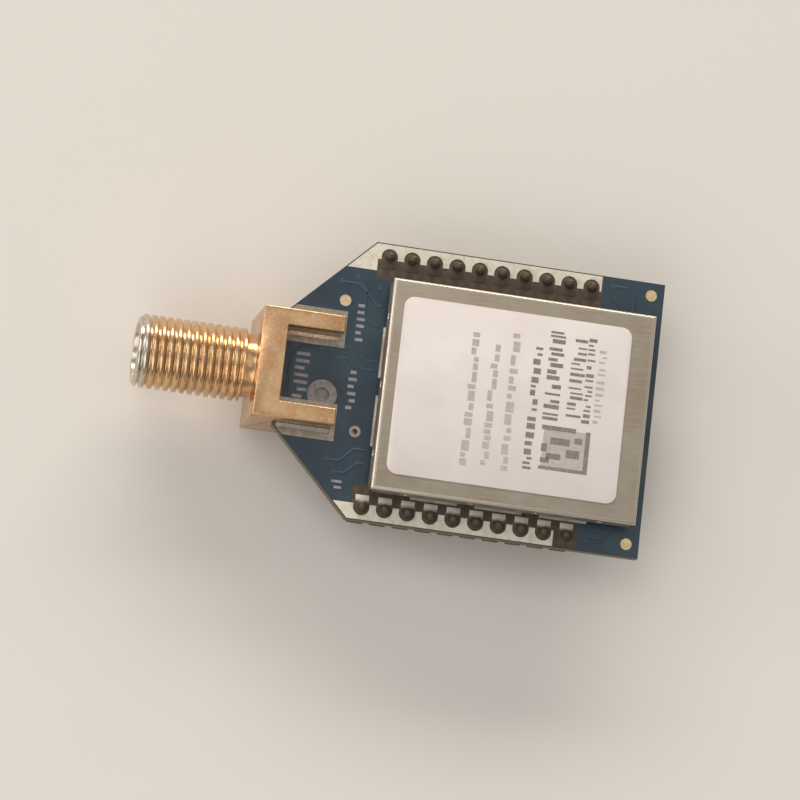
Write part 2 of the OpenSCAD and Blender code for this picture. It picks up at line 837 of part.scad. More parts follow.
circuit_board();
edge_print();
fiducials();
test_ring();
ring_fill();
via_ring();
ground_lands();
feed_land();
header_body_a();
header_body_b();
header_pins_a();
header_pins_b();
pin_solder_a();
pin_solder_b();
shield_frame();
shield_solder();
shield_cover();
label();
antenna_jack();
jack_insulator();
jack_contact();
jack_solder();
radio_chip();
microcontroller();
flash_memory();
power_amplifier();
antenna_switch();
antenna_filter();
main_crystal();
clock_crystal();
voltage_regulator();
power_inductor();
capacitors();
resistors();
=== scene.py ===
import math
import random

import bpy
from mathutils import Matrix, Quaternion, Vector


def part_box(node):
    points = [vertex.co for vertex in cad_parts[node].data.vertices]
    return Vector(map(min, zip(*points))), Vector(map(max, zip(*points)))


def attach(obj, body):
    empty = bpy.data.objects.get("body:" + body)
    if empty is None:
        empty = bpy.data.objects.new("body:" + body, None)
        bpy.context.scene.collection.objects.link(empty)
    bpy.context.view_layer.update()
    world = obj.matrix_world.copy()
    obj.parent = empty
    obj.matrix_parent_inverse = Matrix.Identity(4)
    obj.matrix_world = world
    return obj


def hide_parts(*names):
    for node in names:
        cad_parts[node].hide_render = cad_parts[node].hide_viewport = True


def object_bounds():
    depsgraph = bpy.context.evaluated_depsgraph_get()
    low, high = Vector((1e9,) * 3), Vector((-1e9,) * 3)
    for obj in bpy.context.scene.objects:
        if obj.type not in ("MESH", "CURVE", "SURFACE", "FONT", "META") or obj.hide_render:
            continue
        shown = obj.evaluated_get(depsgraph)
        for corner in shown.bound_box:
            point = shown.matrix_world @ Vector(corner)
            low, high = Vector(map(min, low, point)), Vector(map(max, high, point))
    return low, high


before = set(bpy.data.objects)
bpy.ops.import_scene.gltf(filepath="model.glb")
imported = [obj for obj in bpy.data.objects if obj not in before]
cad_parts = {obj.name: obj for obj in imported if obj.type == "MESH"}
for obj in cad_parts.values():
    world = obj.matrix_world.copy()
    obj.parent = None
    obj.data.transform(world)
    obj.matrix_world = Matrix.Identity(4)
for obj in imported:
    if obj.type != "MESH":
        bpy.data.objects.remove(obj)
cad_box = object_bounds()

# ---------------------------------------------------------------- circuit board
# A routed panel of glass-epoxy laminate under a dark blue solder mask. The mask
# is left off along the two pin rows, where the brown laminate shows bare, and
# the routed edges show the layers of glass cloth.

MM = 0.001


def linear(hexa):
    """An sRGB hex value as a linear colour."""
    parts = [int(hexa[i:i + 2], 16) / 255 for i in (1, 3, 5)]
    return [p / 12.92 if p <= 0.04045 else ((p + 0.055) / 1.055) ** 2.4 for p in parts] + [1.0]


def wire(tree, node, inputs):
    """Sets each input of a shader node, or links it where the value is a node or a socket."""
    for name, value in inputs.items():
        if isinstance(value, bpy.types.Node):
            value = next(socket for socket in value.outputs if socket.enabled)
        if isinstance(value, bpy.types.NodeSocket):
            tree.links.new(value, node.inputs[name])
        else:
            node.inputs[name].default_value = value


def put(tree, kind, inputs=None, **settings):
    """Adds a node with its settings and links; inputs go by name, or by number where names repeat."""
    made = tree.nodes.new("ShaderNode" + kind)
    for name, value in settings.items():
        setattr(made, name, value)
    wire(tree, made, inputs or {})
    return made


def new_material(name):
    """A material with its node tree, its shader, and its own coordinates in millimetres."""
    made = bpy.data.materials.new(name)
    made.use_nodes = True
    tree = made.node_tree
    place = put(tree, "TexCoord").outputs["Object"]
    mm = put(tree, "Mapping", {"Vector": place, "Scale": (1 / MM, 1 / MM, 1 / MM)})
    return made, tree, tree.nodes["Principled BSDF"], mm


def mottled(tree, pattern, low, high, first, second):
    """A colour that goes from first to second as the pattern goes from low to high."""
    share = put(tree, "MapRange", {"Value": pattern, "From Min": low, "From Max": high})
    first, second = [linear(tone) if isinstance(tone, str) else tone for tone in (first, second)]
    return put(tree, "Mix", {"Factor": share, "A": first, "B": second}, data_type="RGBA")


def paint(name, material):
    """Gives a CAD node its material."""
    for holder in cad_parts[name].material_slots:
        holder.material = material


board_low, board_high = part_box("circuit_board")
top = board_high.z / MM
under = board_low.z / MM
STRIP_X = 10.0            # bare strip, measured each way from the middle of the pin row
STRIP_Y = 9.0             # bare strip's inner side, hidden under the shield
STRIP_SOFT = 0.04         # half the width over which the mask thins out at the strip
MASK = "#2b3e4c"
MASK_DEEP = "#243543"
MASK_GREEN = "#304750"
LAMINATE = "#43392c"
LAMINATE_PALE = "#564a3a"
CUT_EDGE = "#7d7455"
MASK_PATCH = 3.0          # patches where the ink ran thicker or thinner
MASK_TINT = 6.0           # patches where the laminate shows greenish through it
CLOTH_WAVE = 0.31         # makes waves 1 mm long, two glass threads of 0.5 mm to each
CLOTH_FUZZ = 0.6          # patches over which resin hides the weave
PLY_WAVE = 0.92           # makes waves 0.34 mm long, two layers of cloth to each
MASK_IOR = 1.52
SOFT = {"Detail": 3.0, "Roughness": 0.55}     # a pattern with soft edges

# Solder mask over FR-4: the mask is a cured ink, so it is glossy and a little
# wavy; the laminate beneath is a resin full of woven glass, dull and brown.
board_finish, tree, shader, mm = new_material("solder_mask_on_glass_epoxy")
axes = put(tree, "SeparateXYZ", {"Vector": mm}).outputs
facing = put(tree, "SeparateXYZ", {"Vector": put(tree, "NewGeometry").outputs["Normal"]}).outputs["Z"]
flatness = put(tree, "Math", {0: facing}, operation="ABSOLUTE")
flat = put(tree, "MapRange", {"Value": flatness, "From Min": 0.4, "From Max": 0.6})
along = put(tree, "Math", {0: axes["X"]}, operation="ABSOLUTE")
across = put(tree, "Math", {0: axes["Y"]}, operation="ABSOLUTE")
in_x = put(tree, "MapRange", {"Value": along, "From Min": STRIP_X - STRIP_SOFT,
                              "From Max": STRIP_X + STRIP_SOFT, "To Min": 1.0, "To Max": 0.0})
in_y = put(tree, "MapRange", {"Value": across, "From Min": STRIP_Y - STRIP_SOFT,
                              "From Max": STRIP_Y + STRIP_SOFT})
bare = put(tree, "Math", {0: in_x, 1: in_y}, operation="MULTIPLY")
mottle = put(tree, "TexNoise", {"Vector": mm, "Scale": 1 / MASK_PATCH, **SOFT})
tint = put(tree, "TexNoise", {"Vector": mm, "Scale": 1 / MASK_TINT, "Detail": 1.0, "Roughness": 0.55})
mask_colour = mottled(tree, mottle, 0.35, 0.65, MASK_DEEP, MASK)
mask_colour = mottled(tree, tint, 0.5, 0.75, mask_colour, MASK_GREEN)
weft = put(tree, "TexWave", {"Vector": mm, "Scale": CLOTH_WAVE}, bands_direction="X").outputs[1]
warp = put(tree, "TexWave", {"Vector": mm, "Scale": CLOTH_WAVE}, bands_direction="Y").outputs[1]
weave = put(tree, "Math", {0: weft, 1: warp}, operation="MULTIPLY")
fuzz = put(tree, "TexNoise", {"Vector": mm, "Scale": 1 / CLOTH_FUZZ, **SOFT})
grain = put(tree, "Math", {0: weave, 1: fuzz}, operation="MULTIPLY")
bare_colour = mottled(tree, grain, 0.0, 0.5, LAMINATE, LAMINATE_PALE)
ply = put(tree, "TexWave", {"Vector": mm, "Scale": PLY_WAVE, "Distortion": 0.6},
          bands_direction="Z").outputs[1]
edge_colour = mottled(tree, ply, 0.0, 1.0, LAMINATE_PALE, CUT_EDGE)
face_colour = mottled(tree, bare, 0.0, 1.0, mask_colour, bare_colour)
masked = put(tree, "Math", {0: flat, 1: bare}, operation="SUBTRACT")
dull = put(tree, "MapRange", {"Value": masked, "To Min": 0.62, "To Max": 0.3})
# the bare strip lies lower than the mask by the mask's own thickness
step = put(tree, "Math", {0: bare, 1: -0.6}, operation="MULTIPLY")
waves = put(tree, "Math", {0: mottle, 1: 0.5, 2: step}, operation="MULTIPLY_ADD")
cloth = put(tree, "Math", {0: grain, 1: 0.35, 2: waves}, operation="MULTIPLY_ADD")
wire(tree, shader, {"Base Color": mottled(tree, flat, 0.0, 1.0, edge_colour, face_colour),
                    "Roughness": dull, "IOR": MASK_IOR,
                    "Normal": put(tree, "Bump", {"Height": cloth, "Distance": 0.02 * MM})})
paint("circuit_board", board_finish)

# ---------------------------------------------------- tracks under the solder mask
# Etched copper 0.035 mm thick, seen as low ridges where the blue mask runs over
# it, with plated vias that the mask covers. Signal tracks are 0.25 mm wide.

TRACK = "#34495a"
TRACK_PATCH = 1.5
TRACK_GRAIN = 0.4         # waves of the ink over the copper
TRACK_H = 0.03
TRACK_W = 0.25
VIA_D = 0.55
VIA_SIDES = 20
VIA_ROUND = 0.02
VIA_COLLAR = 0.12
VIA_DIMPLE = 0.02


def nothing_selected():
    """Leaves edit mode and clears the selection."""
    if bpy.context.mode != "OBJECT":
        bpy.ops.object.mode_set(mode="OBJECT")
    bpy.ops.object.select_all(action="DESELECT")


def ridge(points, width, height, level):
    """A low rounded ridge along a route on a face of the board, in millimetres."""
    route = bpy.data.curves.new("route", "CURVE")
    route.dimensions = "3D"
    line = route.splines.new("POLY")
    line.points.add(len(points) - 1)
    for point, (x, y) in zip(line.points, points):
        point.co = (x * MM, y * MM, 0, 1)
    route.bevel_depth = width / 2 * MM
    route.bevel_resolution = 1
    route.use_fill_caps = True
    made = bpy.data.objects.new("ridge", route)
    made.location.z = level * MM
    made.scale.z = 2 * height / width
    bpy.context.scene.collection.objects.link(made)
    nothing_selected()
    made.select_set(True)
    bpy.context.view_layer.objects.active = made
    bpy.ops.object.convert(target="MESH")
    return bpy.context.object


def copies(master, places):
    """A copy of master, with its own mesh, at each place in millimetres; master goes."""
    made = []
    for place in places:
        one = master.copy()
        one.data = master.data.copy()
        one.location = [v * MM for v in place]
        bpy.context.scene.collection.objects.link(one)
        made.append(one)
    bpy.data.objects.remove(master)
    return made


def one_piece(name, objects):
    """Joins objects into one piece with its place in its mesh."""
    nothing_selected()
    for each in objects:
        each.select_set(True)
    bpy.context.view_layer.objects.active = objects[0]
    if len(objects) > 1:
        bpy.ops.object.join()
    piece = bpy.context.object
    bpy.ops.object.transform_apply(location=True, rotation=True, scale=True)
    piece.name = piece.data.name = name
    return piece


def dress(piece, material):
    """Gives a finished piece its material and its body."""
    piece.data.materials.clear()
    piece.data.materials.append(material)
    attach(piece, "root")


def tented_via():
    """A plated hole under the mask: a low round collar with a dimple in its middle."""
    nothing_selected()
    bpy.ops.mesh.primitive_cylinder_add(vertices=VIA_SIDES, radius=VIA_D / 2 * MM,
                                        depth=2 * TRACK_H * MM)
    made = bpy.context.object
    bpy.ops.object.mode_set(mode="EDIT")
    bpy.ops.mesh.select_all(action="SELECT")
    bpy.ops.mesh.bevel(offset=VIA_ROUND * MM, segments=2)
    bpy.ops.mesh.select_all(action="DESELECT")
    bpy.ops.object.mode_set(mode="OBJECT")
    widest = max(face.area for face in made.data.polygons)
    for face in made.data.polygons:
        face.select = face.area > widest / 2
    bpy.ops.object.mode_set(mode="EDIT")
    bpy.ops.mesh.inset(thickness=VIA_COLLAR * MM, depth=-VIA_DIMPLE * MM)
    bpy.ops.object.mode_set(mode="OBJECT")
    return made


# Copper under solder mask: the same ink, lighter where the copper shines through.
track_finish, tree, shader, mm = new_material("solder_mask_over_copper")
patches = put(tree, "TexNoise", {"Vector": mm, "Scale": 1 / TRACK_PATCH, **SOFT})
grain = put(tree, "TexNoise", {"Vector": mm, "Scale": 1 / TRACK_GRAIN, **SOFT})
wire(tree, shader, {"Base Color": mottled(tree, patches, 0.3, 0.7, TRACK, MASK),
                    "Roughness": 0.3, "IOR": MASK_IOR,
                    "Normal": put(tree, "Bump", {"Height": grain, "Distance": 0.004 * MM})})

TOP_TRACKS = [
    [(-12.4, 1.6), (-11.6, 1.6), (-10.9, 0.9), (-9.2, 0.9)],
    [(-12.0, 2.6), (-11.2, 2.6), (-10.3, 1.7), (-9.2, 1.7)],
    [(-11.6, 8.9), (-10.6, 7.9), (-10.6, 5.6), (-9.8, 4.8), (-9.2, 4.8)],
    [(-12.9, 8.3), (-11.3, 8.3), (-9.6, 6.6), (-9.2, 6.6)],
    [(-12.6, -7.3), (-11.4, -7.3), (-10.2, -6.1), (-9.2, -6.1)],
    [(-11.8, -8.3), (-10.8, -8.3), (-9.8, -7.3), (-9.2, -7.3)],
    [(10.9, 11.4), (12.2, 11.4), (12.9, 10.7), (12.9, 9.3)],
    [(11.2, 10.2), (11.9, 9.5), (11.9, 9.2)],
    [(10.7, -11.2), (12.0, -11.2), (12.9, -10.3), (12.9, -9.9)],
    [(-16.6, -2.4), (-16.6, 1.2), (-15.6, 2.2), (-14.2, 2.2)],
]
# the tracks start at vias, except the last, which ends at one
TOP_VIAS = [points[0] for points in TOP_TRACKS[:-1]] + [TOP_TRACKS[-1][-1]]
TOP_VIAS += [(-13.2, 2.2), (-9.6, 8.2), (11.6, -10.2)]
UNDER_TRACKS = [
    [(-8.6, 8.2), (-6.0, 8.2), (-4.4, 6.6), (2.0, 6.6), (3.4, 8.0), (7.4, 8.0)],
    [(-8.6, 7.2), (-5.4, 7.2), (-3.8, 5.6), (6.2, 5.6), (7.8, 7.2), (9.8, 7.2)],
    [(-7.8, -8.2), (-4.8, -8.2), (-3.2, -6.6), (1.4, -6.6), (3.0, -8.2), (8.6, -8.2)],
    [(-7.0, -7.2), (-4.2, -7.2), (-2.6, -5.6), (4.0, -5.6), (5.6, -7.2), (9.6, -7.2)],
    [(-10.2, 4.2), (-7.0, 4.2), (-5.2, 2.4), (0.4, 2.4), (1.6, 3.6), (10.4, 3.6)],
    [(-9.4, -4.4), (-6.4, -4.4), (-4.6, -2.6), (5.2, -2.6), (6.6, -4.0), (11.4, -4.0)],
    [(-9.0, 0.8), (-6.4, 0.8), (-5.6, 0.0), (3.0, 0.0), (4.4, 1.4), (12.6, 1.4)],
    [(12.6, 9.6), (13.6, 8.6), (13.6, -8.6), (12.6, -9.6)],
]
UNDER_VIAS = [points[end] for points in UNDER_TRACKS for end in (0, -1)]
for name, tracks, vias, height in (("board_tracks_top", TOP_TRACKS, TOP_VIAS, top),
                                   ("board_tracks_under", UNDER_TRACKS, UNDER_VIAS, under)):
    ridges = [ridge(points, TRACK_W, TRACK_H, height) for points in tracks]
    ridges += copies(tented_via(), [(x, y, height) for x, y in vias])
    dress(one_piece(name, ridges), track_finish)

# ------------------------------------------------------------- print on the board
# White epoxy ink, screen-printed after the mask: the scalloped bands along the
# pin rows, and short plain marks where a board has its printed references.

INK = "#d9d3c4"
INK_WORN = "#b9ae9a"
INK_PATCH = 0.8           # patches that wore thin
MARK = "#9c989c"
MARK_THIN = "#73757e"
MARK_PATCH = 0.5
MESH_GRAIN = 0.12         # the screen's threads are 0.09 mm apart: drawn a little coarser
INK_H = 0.02
FINE = {"Detail": 4.0, "Roughness": 0.55}     # a pattern with finer parts
RAGGED = {"Detail": 5.0, "Roughness": 0.7}    # a pattern with torn edges

# Screen ink: dead matt, a little thin and grey where the mesh starved it.
ink_finish, tree, shader, mm = new_material("screen_printed_epoxy_ink")
wear_and_mouth_highlight = put(tree, "TexNoise", {"Vector": mm, "Scale": 1 / INK_PATCH, **RAGGED})
grain = put(tree, "TexNoise", {"Vector": mm, "Scale": 1 / MESH_GRAIN, **FINE})
wire(tree, shader, {"Base Color": mottled(tree, wear_and_mouth_highlight, 0.45, 0.75, INK, INK_WORN), "Roughness": 0.75,
                    "Normal": put(tree, "Bump", {"Height": grain, "Distance": 0.008 * MM})})
paint("edge_print", ink_finish)

# Reference marks: the same ink laid thin over the blue, so it looks grey.
mark_finish, tree, shader, mm = new_material("thin_screen_printed_ink")
wear_and_mouth_highlight = put(tree, "TexNoise", {"Vector": mm, "Scale": 1 / MARK_PATCH, **RAGGED})
grain = put(tree, "TexNoise", {"Vector": mm, "Scale": 1 / MESH_GRAIN, **FINE})
wire(tree, shader, {"Base Color": mottled(tree, wear_and_mouth_highlight, 0.4, 0.7, MARK, MARK_THIN), "Roughness": 0.7,
                    "Normal": put(tree, "Bump", {"Height": grain, "Distance": 0.006 * MM})})

# middle, upper end, lower end, width and pitch of each column of marks
MARK_COLUMNS = [
    (-15.5, 1.5, -2.9, 1.2, 0.62),
    (-11.0, 0.5, -3.5, 0.75, 0.62),
    (-10.9, 6.4, 2.7, 0.7, 0.6),
    (-11.4, -9.1, -10.2, 0.9, 0.5),
]
MARK_FILL = 0.45          # a mark's share of its pitch
UNDER_MARKS = [(-11.4, 9.0), (-3.0, 8.9), (6.0, -9.0), (0.6, 1.2), (8.2, 2.4)]
UNDER_MARK_L = (1.9, 1.3, 1.6)
UNDER_MARK_W = 0.18
UNDER_MARK_PITCH = 0.4

dice = random.Random(7)


def bar(x, y, long, wide, low, high):
    """A printed bar on a flat face: its middle, its length along X and its width, in millimetres."""
    nothing_selected()
    bpy.ops.mesh.primitive_cube_add(size=MM, location=(x * MM, y * MM, (low + high) / 2 * MM),
                                    scale=(long, wide, high - low))
    return bpy.context.object


def mark_column(x, y0, y1, wide, pitch):
    """Short bars one under the other from y0 down to y1, none of them a letter."""
    made = []
    for i in range(int((y0 - y1) / pitch)):
        long = wide * dice.choice((0.7, 1.0, 1.0))
        shift = dice.choice((-0.5, 0.0, 0.5)) * (wide - long)
        made.append(bar(x + shift, y0 - i * pitch, long, pitch * MARK_FILL, top, top + INK_H))
    return made


marks = [mark for column in MARK_COLUMNS for mark in mark_column(*column)]
dress(one_piece("board_reference_marks", marks), mark_finish)
marks = [bar(x, y - UNDER_MARK_PITCH * i, long, UNDER_MARK_W, under - INK_H, under)
         for x, y in UNDER_MARKS for i, long in enumerate(UNDER_MARK_L)]
dress(one_piece("board_marks_under", marks), mark_finish)

# ------------------------------------------------------- fiducials, lands and rings
# Bare copper targets and lands. The fiducials keep their gold flash; the lands
# and the test ring carry a thin coat of solder left by the reflow oven.

GOLD_FLASH = "#ead6ae"
GOLD_DULL = "#d3b68c"
GOLD_PATCH = 0.25
COPPER_GRAIN = 0.08       # far coarser than real copper's, or it wouldn't show
TIN = "#aca394"
TIN_DARK = "#8d8477"
TIN_PATCH = 0.45
TIN_LUMP = 0.3            # humps where the film drew together as it froze
TIN_DULL = "#928d8a"
TIN_FLUXED = "#7b7371"
TIN_DULL_PATCH = 0.35
CLOUDY = {"Detail": 4.0, "Roughness": 0.6}    # a pattern like stains or frost

# Electroless gold flash on copper: warm, soft, with the copper's fine grain.
flash_finish, tree, shader, mm = new_material("gold_flash_on_copper")
patches = put(tree, "TexNoise", {"Vector": mm, "Scale": 1 / GOLD_PATCH, **FINE})
grain = put(tree, "TexNoise", {"Vector": mm, "Scale": 1 / COPPER_GRAIN, **SOFT})
wire(tree, shader, {"Base Color": mottled(tree, patches, 0.4, 0.7, GOLD_FLASH, GOLD_DULL),
                    "Metallic": 1.0, "Roughness": 0.42,
                    "Normal": put(tree, "Bump", {"Height": grain, "Distance": 0.004 * MM})})
paint("fiducials", flash_finish)

# Reflowed tin on a flat land: a thin frozen film, bright but uneven.
tin_finish, tree, shader, mm = new_material("reflowed_tin")
cloud = put(tree, "TexNoise", {"Vector": mm, "Scale": 1 / TIN_PATCH, **CLOUDY})
lumps = put(tree, "TexNoise", {"Vector": mm, "Scale": 1 / TIN_LUMP, **SOFT})
dull = put(tree, "MapRange", {"Value": cloud, "From Min": 0.3, "From Max": 0.7,
                              "To Min": 0.34, "To Max": 0.5})
wire(tree, shader, {"Base Color": mottled(tree, cloud, 0.35, 0.7, TIN, TIN_DARK),
                    "Metallic": 0.75, "Roughness": dull,
                    "Normal": put(tree, "Bump", {"Height": lumps, "Distance": 0.02 * MM})})
for name in ("via_ring", "ground_lands", "feed_land"):
    paint(name, tin_finish)

# The test ring's solder was reflowed twice: duller and darker, with a little flux on it.
dull_finish, tree, shader, mm = new_material("dull_reflowed_tin")
cloud = put(tree, "TexNoise", {"Vector": mm, "Scale": 1 / TIN_DULL_PATCH, **CLOUDY})
wire(tree, shader, {"Base Color": mottled(tree, cloud, 0.35, 0.7, TIN_DULL, TIN_FLUXED),
                    "Metallic": 0.5, "Roughness": 0.45,
                    "Normal": put(tree, "Bump", {"Height": cloud, "Distance": 0.02 * MM})})
for name in ("test_ring", "ring_fill"):
    paint(name, dull_finish)

# ----------------------------------------------------------------------- headers
# Two 2 mm pin strips under the board: square brass pins with a gold flash, held
# in moulded black nylon bodies that are notched between the pins.

BODY = "#1b1a19"
BODY_PALE = "#2a2826"
BODY_PATCH = 1.2
BODY_GRIT = 0.06          # about the width of a spark's crater in the mould
BODY_ROUND = 0.05
PIN_GOLD = "#c7a35c"
PIN_DULL = "#9c7d48"
# dark brown painted shade on the pins above the board
PIN_TIP_SHADE = "#4e4336"
PIN_PATCH = 0.5
DRAW_LINE = 0.05          # real draw lines are finer: drawn coarser to show
DRAW_SHRINK = 0.06        # draws the pattern out along the pin, so its patches become lines
TIP_SHADE_RISE = 0.1            # height over which the gold gives way to the painted shade
PIN_ROUND = 0.02
WELD = 0.0005             # points closer to each other than this are one point
SAME_PLANE = math.radians(1)
CREASE = math.radians(35)


def softened(node, name, width, steps=2, angle=30):
    """A copy of a CAD node with its seams closed and its sharp edges rounded."""
    nothing_selected()
    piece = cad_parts[node].copy()
    piece.data = piece.data.copy()
    piece.parent = None
    for key in [k for k in piece.keys() if k.startswith("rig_")]:
        del piece[key]
    bpy.context.scene.collection.objects.link(piece)
    piece.name = piece.data.name = name
    piece.select_set(True)
    bpy.context.view_layer.objects.active = piece
    bpy.ops.object.mode_set(mode="EDIT")
    bpy.ops.mesh.select_all(action="SELECT")
    bpy.ops.mesh.remove_doubles(threshold=WELD * MM)
    bpy.ops.mesh.dissolve_limited(angle_limit=SAME_PLANE)
    bpy.ops.object.mode_set(mode="OBJECT")
    if width:
        rounding = piece.modifiers.new("edges", "BEVEL")
        rounding.width = width * MM
        rounding.segments = steps
        rounding.limit_method = "ANGLE"
        rounding.angle_limit = math.radians(angle)
        bpy.ops.object.modifier_apply(modifier="edges")
    bpy.ops.object.shade_smooth_by_angle(angle=CREASE)
    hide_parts(node)
    return piece


# Injection-moulded nylon: black, dull, with the fine spark-eroded grain of its mould.
nylon_finish, tree, shader, mm = new_material("moulded_black_nylon")
patches = put(tree, "TexNoise", {"Vector": mm, "Scale": 1 / BODY_PATCH, **SOFT})
grit = put(tree, "TexNoise", {"Vector": mm, "Scale": 1 / BODY_GRIT, "Detail": 3.0, "Roughness": 0.7})
wire(tree, shader, {"Base Color": mottled(tree, patches, 0.3, 0.7, BODY, BODY_PALE),
                    "Roughness": 0.55, "IOR": 1.53,
                    "Normal": put(tree, "Bump", {"Height": grit, "Distance": 0.008 * MM})})
for row in "ab":
    strip = softened("header_body_" + row, "header_strip_" + row, BODY_ROUND)
    dress(strip, nylon_finish)

# Gold-flashed drawn brass: draw lines run along the pin. Above the board the
# pin is painted dark brown and made duller, painted shade like the joints round it.
pin_finish, tree, shader, mm = new_material("gold_flashed_drawn_brass")
drawn = put(tree, "Mapping", {"Vector": mm, "Scale": (1.0, 1.0, DRAW_SHRINK)})
lines = put(tree, "TexNoise", {"Vector": drawn, "Scale": 1 / DRAW_LINE, **SOFT})
patches = put(tree, "TexNoise", {"Vector": mm, "Scale": 1 / PIN_PATCH, **SOFT})
pin_colour = mottled(tree, patches, 0.35, 0.7, PIN_GOLD, PIN_DULL)
height = put(tree, "SeparateXYZ", {"Vector": mm}).outputs["Z"]
tip_shade = put(tree, "MapRange", {"Value": height, "From Min": top, "From Max": top + TIP_SHADE_RISE})
shine = put(tree, "MapRange", {"Value": tip_shade, "To Min": 1.0, "To Max": 0.2})
dull = put(tree, "MapRange", {"Value": tip_shade, "To Min": 0.3, "To Max": 0.5})
wire(tree, shader, {"Base Color": mottled(tree, tip_shade, 0.0, 1.0, pin_colour, PIN_TIP_SHADE),
                    "Metallic": shine, "Roughness": dull,
                    "Normal": put(tree, "Bump", {"Height": lines, "Distance": 0.003 * MM})})
for row in "ab":
    pins = softened("header_pins_" + row, "header_pin_row_" + row, PIN_ROUND, 1)
    dress(pins, pin_finish)

# --------------------------------------------------------------------- pin joints
# Each pin is soldered from above: the solder climbs the square pin in a hollow
# cone and thins out over its pad. The cones are painted dark brown as painted shade,
# all over on the first row; on the second the inner toes stay bright, a painted highlight.

pin_low, pin_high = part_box("header_pins_a")
PINS = 10
PITCH = 2.0
ROW_Y = (pin_low.y + pin_high.y) / 2 / MM
JOINT_SOLDER = "#d6d0c4"
# dark brown painted shade over the solder joints
JOINT_SHADE = "#4a3e31"
SHADE_PATCH = 0.5
SHADE_START = 0.5          # on the second row the painted shade starts this far inside the pins' middle
SHADE_FULL = 0.2           # and is full from here on outwards
# radius and height of the solder's skin, from the pad's rim to the pin
JOINT_SKIN = [(0.55, 0.0), (0.55, 0.035), (0.5, 0.05), (0.46, 0.1), (0.425, 0.18), (0.4, 0.28),
              (0.38, 0.4), (0.365, 0.52), (0.33, 0.62), (0.24, 0.66)]
JOINT_SIDES = 24
TOE_L = 1.05
TOE_W = 1.2
TOE_H = 0.04
TOE_ROUND = 0.018
JOINT_CREASE = math.radians(40)


def solder_cone():
    """One cone: a circle drawn up from the board through each radius and height of its skin."""
    nothing_selected()
    bpy.ops.mesh.primitive_circle_add(vertices=JOINT_SIDES, radius=JOINT_SKIN[0][0] * MM,
                                      fill_type="NGON")
    made = bpy.context.object
    bpy.ops.object.mode_set(mode="EDIT")
    bpy.ops.mesh.select_all(action="SELECT")
    for (r0, z0), (r1, z1) in zip(JOINT_SKIN, JOINT_SKIN[1:]):
        bpy.ops.mesh.extrude_region_move(TRANSFORM_OT_translate={"value": (0, 0, (z1 - z0) * MM)})
        bpy.ops.transform.resize(value=(r1 / r0, r1 / r0, 1), center_override=(0, 0, z1 * MM))
    bpy.ops.mesh.select_all(action="SELECT")
    bpy.ops.mesh.normals_make_consistent(inside=False)
    bpy.ops.object.mode_set(mode="OBJECT")
    return made


# Solder with painted shade: grey metal painted dark brown as painted shade. On the first
# row it covers the whole joint, on the second it leaves the inner toes bright, a painted highlight.
joint_finish, tree, shader, mm = new_material("solder_with_painted_shade")
across = put(tree, "SeparateXYZ", {"Vector": mm}).outputs["Y"]
shade_noise = put(tree, "TexNoise", {"Vector": mm, "Scale": 1 / SHADE_PATCH, "Detail": 3.0, "Roughness": 0.6})
outward = put(tree, "Math", {0: across, 1: -1.0}, operation="MULTIPLY")
reach = put(tree, "Math", {0: shade_noise, 1: 0.4, 2: outward}, operation="MULTIPLY_ADD")
second_row_shade = put(tree, "MapRange", {"Value": reach, "From Min": ROW_Y - SHADE_START,
                                    "From Max": ROW_Y - SHADE_FULL})
first_row_shade = put(tree, "MapRange", {"Value": across, "From Min": 0.0, "From Max": 0.1})
joint_shade = put(tree, "Math", {0: first_row_shade, 1: second_row_shade}, operation="MAXIMUM")
shine = put(tree, "MapRange", {"Value": joint_shade, "To Min": 0.4, "To Max": 0.1})
dull = put(tree, "MapRange", {"Value": shade_noise, "From Min": 0.3, "From Max": 0.7,
                              "To Min": 0.45, "To Max": 0.6})
wire(tree, shader, {"Base Color": mottled(tree, joint_shade, 0.0, 1.0, JOINT_SOLDER, JOINT_SHADE),
                    "Metallic": shine, "Roughness": dull,
                    "Normal": put(tree, "Bump", {"Height": shade_noise, "Distance": 0.02 * MM})})

for row, side in (("a", 1), ("b", -1)):
    places = [((i - (PINS - 1) / 2) * PITCH, side * ROW_Y, top) for i in range(PINS)]
    cones = copies(solder_cone(), places)
    for cone in cones:
        cone.rotation_euler.z = dice.uniform(0, math.pi)
        cone.scale = (1.0, dice.uniform(0.9, 1.0), dice.uniform(0.88, 1.0))
    nothing_selected()
    bpy.ops.mesh.primitive_cube_add(size=MM, location=(0, 0, 0), scale=(TOE_W, TOE_L, TOE_H))
    toe = bpy.context.object
    bpy.ops.object.transform_apply(location=False, rotation=False, scale=True)
    rounding = toe.modifiers.new("edges", "BEVEL")
    rounding.width = TOE_ROUND * MM
    rounding.segments = 2
    bpy.ops.object.modifier_apply(modifier="edges")
    toes = copies(toe, [(x, y - side * TOE_L / 2, top + TOE_H / 2) for x, y, z in places])
    joints = one_piece("pin_joints_" + row, cones + toes)
    bpy.ops.object.shade_smooth_by_angle(angle=JOINT_CREASE)
    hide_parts("pin_solder_" + row)
    dress(joints, joint_finish)

# ------------------------------------------------------- parts under the shield
# The radio, its microcontroller and memory are moulded epoxy packages with a
# round mark at the first corner; the crystals are nickel cans, the coil a
# pressed ferrite block, and the small parts fired ceramic with tinned ends.

CHIP = "#202224"
CHIP_PALE = "#2e3032"
CAN = "#b1aca0"
CAN_DULL = "#8e897e"
FERRITE = "#3b3937"
FERRITE_PALE = "#514e4a"
CERAMIC = "#a58a63"
CERAMIC_PALE = "#bda684"
GLAZE = "#2f2d2a"
GLAZE_PALE = "#454139"
CHIPS = ("radio_chip", "microcontroller", "flash_memory", "power_amplifier", "antenna_switch",
         "voltage_regulator")
CANS = ("main_crystal", "clock_crystal")

